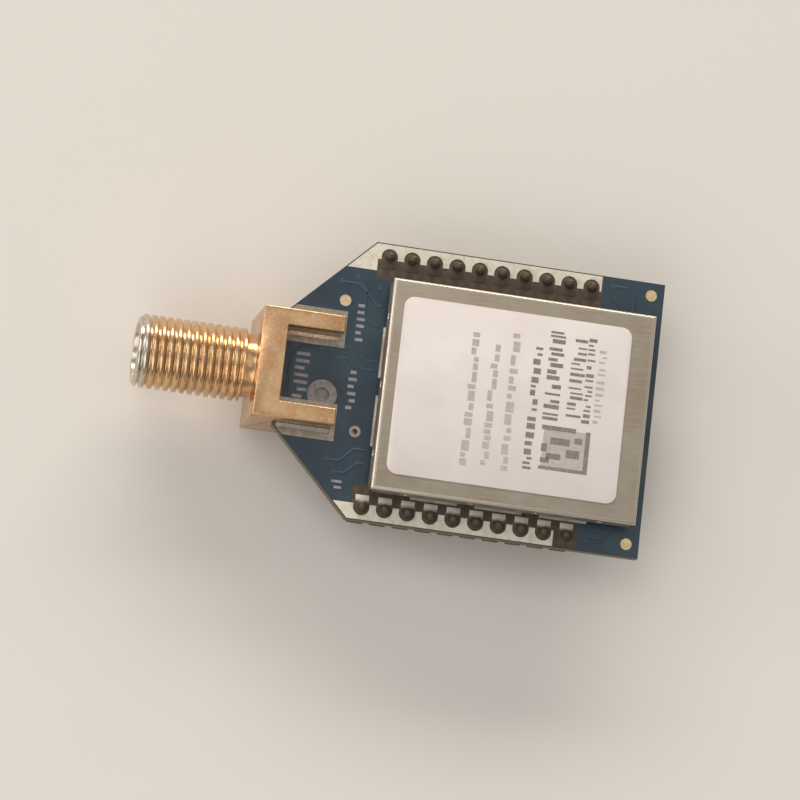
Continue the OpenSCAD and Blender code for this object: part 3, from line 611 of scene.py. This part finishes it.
# Common material, its two tones, metallic, roughness, patch size, relief and parts. The
# patches are filler, smears, press grain and fired grain, the last drawn coarser to show.
INNER_FINISHES = [
    ("moulded_chip_epoxy", CHIP, CHIP_PALE, 0.0, 0.5, 0.08, 0.006, CHIPS),
    ("nickel_plated_can", CAN, CAN_DULL, 1.0, 0.35, 0.5, 0.004, CANS),
    ("pressed_ferrite", FERRITE, FERRITE_PALE, 0.0, 0.65, 0.15, 0.015, ["power_inductor"]),
    ("fired_capacitor_ceramic", CERAMIC, CERAMIC_PALE, 0.0, 0.45, 0.2, 0.006,
     ["capacitors", "antenna_filter"]),
    ("fired_resistor_ceramic", GLAZE, GLAZE_PALE, 0.0, 0.4, 0.2, 0.006, ["resistors"]),
]
for name, first, second, metal, rough, size, depth, parts in INNER_FINISHES:
    inner_finish, tree, shader, mm = new_material(name)
    patches = put(tree, "TexNoise", {"Vector": mm, "Scale": 1 / size, **FINE})
    wire(tree, shader, {"Base Color": mottled(tree, patches, 0.35, 0.7, first, second),
                        "Metallic": metal, "Roughness": rough,
                        "Normal": put(tree, "Bump", {"Height": patches, "Distance": depth * MM})})
    for part in parts:
        paint(part, inner_finish)

# ------------------------------------------------------------------- shield can
# A pressed frame of nickel silver soldered round the radio, and a drawn lid of
# the same 0.2 mm sheet that snaps over it and locks on round dimples.

SHEET = "#aaa091"
SHEET_WARM = "#9c8f7f"
SHEET_PALE = "#b4aa9b"
# colour of the painted highlight along the sheet's bends
SHEET_HIGHLIGHT = "#cdc5b7"
ROLL_LINE = 0.09          # real rolling lines are finer: drawn coarser to show
ROLL_SHRINK = 0.05        # draws the pattern out along the sheet, so its patches become lines
SMEAR = 4.0               # smears as narrow as a fingertip leaves
LID_ROUND = 0.03
LID_CORNER = 40           # degrees; flatter edges than this aren't rounded

# Nickel silver sheet: rolled, so fine lines run along it, with handling smears
# that leave it neither bright nor matt. Where it bends down it is smoother and painted paler, a
# painted highlight.
sheet_finish, tree, shader, mm = new_material("rolled_nickel_silver")
rolled = put(tree, "Mapping", {"Vector": mm, "Scale": (ROLL_SHRINK, 1.0, 1.0)})
lines = put(tree, "TexNoise", {"Vector": rolled, "Scale": 1 / ROLL_LINE, **CLOUDY})
smears = put(tree, "TexNoise", {"Vector": mm, "Scale": 1 / SMEAR, **CLOUDY})
sheet_colour = mottled(tree, smears, 0.35, 0.65, SHEET, SHEET_WARM)
sheet_colour = mottled(tree, lines, 0.5, 0.8, sheet_colour, SHEET_PALE)
facing = put(tree, "SeparateXYZ", {"Vector": put(tree, "NewGeometry").outputs["Normal"]}).outputs["Z"]
off_flat = put(tree, "MapRange", {"Value": facing, "From Min": 0.999, "From Max": 0.98})
off_wall = put(tree, "MapRange", {"Value": facing, "From Min": 0.3, "From Max": 0.6})
# painted highlight, and smoother, where it leans 11 to 53 degrees, fading out at 3 and at 73
bend_highlight_mask = put(tree, "Math", {0: off_flat, 1: off_wall}, operation="MULTIPLY")
dull = put(tree, "MapRange", {"Value": smears, "From Min": 0.3, "From Max": 0.7,
                              "To Min": 0.36, "To Max": 0.48})
dull = put(tree, "Math", {0: bend_highlight_mask, 1: -0.12, 2: dull}, operation="MULTIPLY_ADD")
wire(tree, shader, {"Base Color": mottled(tree, bend_highlight_mask, 0.0, 1.0, sheet_colour, SHEET_HIGHLIGHT),
                    "Metallic": 0.75, "Roughness": dull,
                    "Normal": put(tree, "Bump", {"Height": lines, "Distance": 0.0008 * MM})})
paint("shield_frame", sheet_finish)
lid = softened("shield_cover", "shield_lid", LID_ROUND, 2, LID_CORNER)
dress(lid, sheet_finish)

# ---------------------------------------------------------------- shield solder
# The frame's feet stand in fillets of solder paste that the reflow oven melted,
# frozen in lumps that run up the frame and out over the lands.

SOLDER = "#c6bfb3"
SOLDER_FROST = "#a69f94"
FROST_PATCH = 0.35
FOOT_GRAIN = 0.05
FOOT_SWELL = 0.06


def melted(node, name, grain, swell):
    """Solder frozen over the outline of a CAD node: remeshed, relaxed and slightly swollen."""
    piece = softened(node, name, 0)
    skin = piece.modifiers.new("skin", "REMESH")
    skin.mode = "VOXEL"
    skin.voxel_size = grain * MM
    bpy.ops.object.modifier_apply(modifier="skin")
    ease = piece.modifiers.new("ease", "SMOOTH")
    ease.iterations = 4
    ease.factor = 0.5
    bpy.ops.object.modifier_apply(modifier="ease")
    grow = piece.modifiers.new("grow", "DISPLACE")
    grow.mid_level = 0
    grow.strength = swell * MM
    bpy.ops.object.modifier_apply(modifier="grow")
    bpy.ops.object.shade_smooth()
    return piece


# Reflowed solder paste: bright, lumpy, with dull frosty patches.
solder_finish, tree, shader, mm = new_material("reflowed_solder")
frost = put(tree, "TexNoise", {"Vector": mm, "Scale": 1 / FROST_PATCH, **CLOUDY})
dull = put(tree, "MapRange", {"Value": frost, "From Min": 0.3, "From Max": 0.7,
                              "To Min": 0.25, "To Max": 0.45})
wire(tree, shader, {"Base Color": mottled(tree, frost, 0.4, 0.7, SOLDER, SOLDER_FROST),
                    "Metallic": 0.6, "Roughness": dull,
                    "Normal": put(tree, "Bump", {"Height": frost, "Distance": 0.03 * MM})})
feet = melted("shield_solder", "shield_foot_solder", FOOT_GRAIN, FOOT_SWELL)
dress(feet, solder_finish)

# ------------------------------------------------------------------------ label
# A white paper label, die-cut with round corners and stuck on the lid with its
# own glue, a little off the lid's middle as a hand-fed label lies.

label_low, label_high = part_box("label")
PAPER = "#e1dad7"
PAPER_WARM = "#d9d0cb"
PAPER_FIBRE = 0.15        # fibres are 0.03 mm wide: drawn coarser, as clumps
PAPER_PATCH = 5.0
LABEL_T = 0.085
LABEL_R = 0.9
LABEL_ROUND = 0.02
LABEL_CORNER = math.radians(50)

# Uncoated label paper: short soft fibres, slightly yellowed by the glue below.
paper_finish, tree, shader, mm = new_material("matt_label_paper")
fibres = put(tree, "TexNoise", {"Vector": mm, "Scale": 1 / PAPER_FIBRE, **RAGGED})
patches = put(tree, "TexNoise", {"Vector": mm, "Scale": 1 / PAPER_PATCH, **SOFT})
wire(tree, shader, {"Base Color": mottled(tree, patches, 0.35, 0.7, PAPER, PAPER_WARM),
                    "Roughness": 0.62,
                    "Normal": put(tree, "Bump", {"Height": fibres, "Distance": 0.006 * MM})})

nothing_selected()
centre = (label_low + label_high) / 2
size = label_high - label_low
bpy.ops.mesh.primitive_plane_add(size=1, location=(centre.x, centre.y, label_low.z))
sheet = bpy.context.object
sheet.scale = (size.x, size.y, 1)
bpy.ops.object.transform_apply(location=True, rotation=True, scale=True)
bpy.ops.object.mode_set(mode="EDIT")
bpy.ops.mesh.select_all(action="SELECT")
bpy.ops.mesh.bevel(offset=LABEL_R * MM, segments=8, affect="VERTICES")
bpy.ops.mesh.select_all(action="SELECT")
bpy.ops.mesh.extrude_region_move(TRANSFORM_OT_translate={"value": (0, 0, LABEL_T * MM)})
bpy.ops.mesh.select_all(action="SELECT")
bpy.ops.mesh.normals_make_consistent(inside=False)
bpy.ops.object.mode_set(mode="OBJECT")
rounding = sheet.modifiers.new("edges", "BEVEL")
rounding.width = LABEL_ROUND * MM
rounding.segments = 2
rounding.limit_method = "ANGLE"
rounding.angle_limit = LABEL_CORNER
bpy.ops.object.modifier_apply(modifier="edges")
label = one_piece("label_sheet", [sheet])
bpy.ops.object.shade_smooth_by_angle(angle=CREASE)
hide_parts("label")
dress(label, paper_finish)

# ------------------------------------------------------------- print on the label
# Thermal print: a real label's words and marks, here only lines of strokes and
# plain blocks. Part of it is faint, where small print leaves much paper bare.

PRINT = "#6e6762"
PRINT_FADED = "#9a928b"
FAINT = "#aaa199"
FAINT_PALE = "#c0b6af"
PRINT_GRAIN = 0.1         # about one dot of the printing head
PRINT_T = 0.012
paper_top = label_low.z / MM + LABEL_T

# each column: its middle, its two ends, its width, the strokes' heights and their gaps
BOLD_COLUMNS = [
    (4.4, 4.5, -6.2, 0.75, (0.22, 0.35, 0.5), (0.2, 0.3, 0.55)),
    (6.0, 6.1, -1.6, 1.35, (0.18, 0.26, 0.36), (0.16, 0.24, 0.4)),
    (8.0, 5.7, -1.5, 1.3, (0.14, 0.2, 0.26), (0.2, 0.3, 0.45)),
    (9.1, 5.9, -1.4, 0.7, (0.16, 0.3), (0.22, 0.4)),
]
FAINT_COLUMNS = [
    (-1.1, 5.0, -6.3, 0.7, (0.4, 0.6, 0.9), (0.15, 0.2)),
    (0.7, 4.2, -6.4, 0.7, (0.4, 0.6, 0.9), (0.15, 0.25)),
    (2.4, 5.4, -6.5, 0.7, (0.4, 0.6, 0.9), (0.2, 0.3)),
    (10.1, 5.0, -1.3, 0.7, (0.14, 0.24), (0.3, 0.5)),
]
# each block: its middle, its length along X and its width
BOLD_BLOCKS = [
    (7.55, -5.85, 4.3, 0.3), (9.5, -4.0, 0.4, 3.4), (6.9, -2.35, 3.0, 0.4),
    (5.75, -4.1, 0.5, 0.7), (7.1, -3.45, 1.7, 0.6), (8.3, -4.4, 1.2, 0.7),
    (6.6, -4.8, 1.3, 0.5), (8.7, -3.2, 0.7, 0.5), (5.9, -5.2, 0.8, 0.4),
]
FAINT_BLOCKS = [(7.6, -4.1, 4.0, 3.4)]
# piece, material, its two tones, size, start and end of its thin patches, columns, blocks, thickness
PRINTS = [
    ("label_print", "thermal_print", PRINT, PRINT_FADED, 0.3, 0.35, 0.75,
     BOLD_COLUMNS, BOLD_BLOCKS, PRINT_T),
    ("label_small_print", "faint_thermal_print", FAINT, FAINT_PALE, 0.4, 0.3, 0.7,
     FAINT_COLUMNS, FAINT_BLOCKS, PRINT_T / 2),
]


def printed_column(x, y0, y1, wide, strokes, gaps):
    """Short strokes along X, one under the other from y0 down to y1, none of them a letter."""
    made = []
    y = y0
    while y > y1:
        tall = dice.choice(strokes)
        long = wide * dice.choice((0.6, 0.85, 1.0))
        shift = dice.choice((-0.5, 0.5)) * (wide - long)
        made.append(bar(x + shift, y - tall / 2, long, tall, paper_top, paper_top + PRINT_T))
        y -= tall + dice.choice(gaps)
    return made


for piece, name, dark, pale, patch, low, high, columns, blocks, thick in PRINTS:
    # grey-black, never quite solid, paler where the printing head ran cool
    print_finish, tree, shader, mm = new_material(name)
    thin = put(tree, "TexNoise", {"Vector": mm, "Scale": 1 / patch, **RAGGED})
    grain = put(tree, "TexNoise", {"Vector": mm, "Scale": 1 / PRINT_GRAIN, **SOFT})
    wire(tree, shader, {"Base Color": mottled(tree, thin, low, high, dark, pale), "Roughness": 0.6,
                        "Normal": put(tree, "Bump", {"Height": grain, "Distance": 0.002 * MM})})
    marks = [mark for column in columns for mark in printed_column(*column)]
    marks += [bar(*block, paper_top, paper_top + thick) for block in blocks]
    dress(one_piece(piece, marks), print_finish)

# ----------------------------------------------------------------- antenna jack
# One brass body under a gold flash: a square flange with four legs that grip the
# board's narrow end, and a barrel with a fine 36 to the inch thread cut on it.

jack_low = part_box("antenna_jack")[0]
MOUTH_X = jack_low.x / MM
BARREL_Z = 1.74
BRASS = "#e0ba8d"
BRASS_PALE = "#efdaae"
BRASS_BROWN = "#cb9a71"
# pale silver of the painted highlight at the mouth
MOUTH_HIGHLIGHT = "#cfc6b8"
STAIN_PATCH = 2.2
SPECKLE = 0.3
HIGHLIGHT_END = 1.5           # distance from the mouth at which the painted highlight ends and the gold is whole
HIGHLIGHT_FULL = 0.9             # and up to which the painted highlight is whole, before its ragged edge is added
HIGHLIGHT_EDGE_PATCH = 0.6
BRASS_GRAIN = 0.1         # about the feed of the tool that turned it
JACK_ROUND = 0.1
JACK_CORNER = 40          # degrees; flatter edges than this aren't rounded
CONTACT_ROUND = 0.12
PITCH_OF_THREAD = 0.7056
TURNS = 14
TURN_STEPS = 48
CREST_R = 3.24
ROOT_R = 2.86
ROOT_FLAT = 0.1
GROOVE_MOUTH = 0.46

# Gold flash over machined brass: warm and satin, browner where it has been handled.
# Towards the mouth it is painted pale silver, a painted highlight on the rim.
jack_finish, tree, shader, mm = new_material("gold_flashed_machined_brass")
stain = put(tree, "TexNoise", {"Vector": mm, "Scale": 1 / STAIN_PATCH, **CLOUDY})
speckle = put(tree, "TexNoise", {"Vector": mm, "Scale": 1 / SPECKLE, **SOFT})
grain = put(tree, "TexNoise", {"Vector": mm, "Scale": 1 / BRASS_GRAIN, **SOFT})
jack_colour = mottled(tree, stain, 0.4, 0.7, BRASS, BRASS_BROWN)
jack_colour = mottled(tree, speckle, 0.55, 0.8, jack_colour, BRASS_PALE)
depth = put(tree, "SeparateXYZ", {"Vector": mm}).outputs["X"]
ragged = put(tree, "TexNoise", {"Vector": mm, "Scale": 1 / HIGHLIGHT_EDGE_PATCH, **SOFT})
wear_and_mouth_highlight = put(tree, "Math", {0: ragged, 1: 0.6, 2: depth}, operation="MULTIPLY_ADD")
dull = put(tree, "MapRange", {"Value": stain, "From Min": 0.3, "From Max": 0.7,
                              "To Min": 0.2, "To Max": 0.3})
# paler towards the mouth: a painted highlight
mouth_highlit_colour = mottled(tree, wear_and_mouth_highlight, MOUTH_X + HIGHLIGHT_END, MOUTH_X + HIGHLIGHT_FULL, jack_colour, MOUTH_HIGHLIGHT)
wire(tree, shader, {"Base Color": mouth_highlit_colour, "Metallic": 1.0, "Roughness": dull,
                    "Normal": put(tree, "Bump", {"Height": grain, "Distance": 0.004 * MM})})
jack = softened("antenna_jack", "jack_body", JACK_ROUND, 3, JACK_CORNER)

# The thread's groove: a flat-bottomed V wound round the barrel from beyond its
# mouth to the relief behind it, and cut away.
nothing_selected()
bpy.ops.mesh.primitive_plane_add(size=1, rotation=(math.pi / 2, 0, 0))
groove = bpy.context.object
groove.scale = ((CREST_R - ROOT_R) * MM, ROOT_FLAT * MM, 1)
bpy.ops.object.transform_apply(location=False, rotation=True, scale=True)
bpy.ops.object.mode_set(mode="EDIT")
bpy.ops.mesh.select_all(action="DESELECT")
bpy.ops.object.mode_set(mode="OBJECT")
for corner in groove.data.vertices:
    corner.select = corner.co.x > 0
bpy.ops.object.mode_set(mode="EDIT")
bpy.ops.transform.resize(value=(1, 1, GROOVE_MOUTH / ROOT_FLAT))
bpy.ops.mesh.select_all(action="SELECT")
bpy.ops.transform.translate(value=((CREST_R + ROOT_R) / 2 * MM, 0, 0))
bpy.ops.object.mode_set(mode="OBJECT")
winding = groove.modifiers.new("winding", "SCREW")
winding.screw_offset = PITCH_OF_THREAD * MM
winding.iterations = TURNS
winding.steps = TURN_STEPS
winding.render_steps = TURN_STEPS
winding.use_smooth_shade = False
bpy.ops.object.modifier_apply(modifier="winding")
bpy.ops.object.mode_set(mode="EDIT")
bpy.ops.mesh.select_all(action="SELECT")
bpy.ops.mesh.fill_holes(sides=4)
bpy.ops.mesh.select_all(action="SELECT")
bpy.ops.mesh.normals_make_consistent(inside=False)
bpy.ops.object.mode_set(mode="OBJECT")
groove.rotation_euler = (0, math.pi / 2, 0)
groove.location = (jack_low.x - PITCH_OF_THREAD * MM, 0, BARREL_Z * MM)
nothing_selected()
jack.select_set(True)
bpy.context.view_layer.objects.active = jack
cut = jack.modifiers.new("thread", "BOOLEAN")
cut.operation = "DIFFERENCE"
cut.solver = "EXACT"
cut.object = groove
bpy.ops.object.modifier_apply(modifier="thread")
bpy.data.objects.remove(groove)
bpy.ops.object.mode_set(mode="EDIT")
bpy.ops.mesh.select_all(action="SELECT")
bpy.ops.mesh.remove_doubles(threshold=WELD * MM)
bpy.ops.mesh.dissolve_degenerate(threshold=WELD * MM)
bpy.ops.object.mode_set(mode="OBJECT")
bpy.ops.object.shade_smooth_by_angle(angle=CREASE)
dress(jack, jack_finish)

# ------------------------------------------------ the jack's inside and its solder
# A turned insulator in the barrel holds the drawn centre contact, whose tip is
# rounded to guide the plug. Solder has run round the legs on the board's lands.

PTFE = "#e8e5dc"
PTFE_SHADE = "#dcd8cc"
RING_WAVE = 2.0           # puts the rings 0.16 mm apart, coarser than a real tool's, to show
PTFE_DEPTH = 0.5          # how far light goes into it
LEG_GRAIN = 0.06
LEG_SWELL = 0.015

contact = softened("jack_contact", "jack_centre_pin", CONTACT_ROUND, 3)
dress(contact, pin_finish)

# Turned fluoropolymer: waxy white, with faint rings from the tool.
ptfe_finish, tree, shader, mm = new_material("turned_fluoropolymer")
rings = put(tree, "TexWave", {"Vector": mm, "Scale": RING_WAVE, "Distortion": 1.0},
            wave_type="RINGS", rings_direction="X").outputs[1]
wire(tree, shader, {"Base Color": mottled(tree, rings, 0.0, 1.0, PTFE, PTFE_SHADE), "Roughness": 0.4,
                    "Subsurface Weight": 0.15, "Subsurface Scale": PTFE_DEPTH * MM,
                    "Normal": put(tree, "Bump", {"Height": rings, "Distance": 0.004 * MM})})
paint("jack_insulator", ptfe_finish)
legs = melted("jack_solder", "jack_leg_solder", LEG_GRAIN, LEG_SWELL)
dress(legs, solder_finish)

# ------------------------------------------------------- floor, light and camera
# A plain pale sheet under the module, five soft lamps, of which the long one
# behind it is by far the strongest, and a long lens high above the jack's side.

FLOOR = "#dcd8d2"
SKY = "#f3f1ee"
SKY_STRENGTH = 0.3
WARM_LIGHT = "#fff6ea"
LIGHT = "#fffaf6"
# name, place in metres, width and height in metres, power in watts and colour
LAMPS = [
    ("key_lamp", (-0.20, 2.00, 0.90), (2.6, 0.5), 48.0, WARM_LIGHT),
    ("top_lamp", (-0.50, 0.30, 1.20), (0.6, 0.6), 2.6, LIGHT),
    ("high_lamp", (0.34, 0.20, 1.40), (1.0, 1.0), 1.4, LIGHT),
    ("fill_lamp", (-0.60, -0.80, 0.90), (1.4, 1.0), 6.5, LIGHT),
    ("side_lamp", (-0.90, 0.15, 0.30), (0.5, 0.3), 2.0, LIGHT),
]
CAMERA_EL = 76.0
CAMERA_AZ = -41.0
CAMERA_ROLL = 48.33       # turns the jack to the left of the picture
CAMERA_DISTANCE = 344.3
CAMERA_TARGET = Vector((-6.7, -1.3, 3.0))
CAMERA_LENS = 180

# Heavy matt paper: plain and pale.
floor_finish, tree, shader, mm = new_material("plain_paper_sweep")
wire(tree, shader, {"Base Color": linear(FLOOR), "Roughness": 0.9})
nothing_selected()
bpy.ops.mesh.primitive_plane_add(size=2, location=(0, 0, cad_box[0][2]))
floor = bpy.context.object
floor.name = "floor"
floor.data.materials.append(floor_finish)

for name, place, (wide, high), power, colour in LAMPS:
    light = bpy.data.lights.new(name, "AREA")
    light.shape = "RECTANGLE"
    light.size = wide
    light.size_y = high
    light.energy = power
    light.color = linear(colour)[:3]
    holder = bpy.data.objects.new(name, light)
    holder.location = place
    holder.rotation_euler = (-Vector(place)).to_track_quat("-Z", "Y").to_euler()
    bpy.context.scene.collection.objects.link(holder)

world = bpy.data.worlds.new("studio")
bpy.context.scene.world = world
world.use_nodes = True
sky = world.node_tree.nodes["Background"]
wire(world.node_tree, sky, {"Color": linear(SKY), "Strength": SKY_STRENGTH})

elevation = math.radians(CAMERA_EL)
azimuth = math.radians(CAMERA_AZ)
back = Vector((math.sin(azimuth) * math.cos(elevation), -math.cos(azimuth) * math.cos(elevation),
               math.sin(elevation)))
view = bpy.data.cameras.new("camera")
view.lens = CAMERA_LENS
view.clip_start = 0.01
camera = bpy.data.objects.new("camera", view)
camera.location = (CAMERA_TARGET + back * CAMERA_DISTANCE) * MM
sight = back.to_track_quat("Z", "Y") @ Quaternion((0, 0, 1), math.radians(CAMERA_ROLL))
camera.rotation_euler = sight.to_euler()
bpy.context.scene.collection.objects.link(camera)
bpy.context.scene.camera = camera
bpy.context.scene.view_settings.view_transform = "Standard"
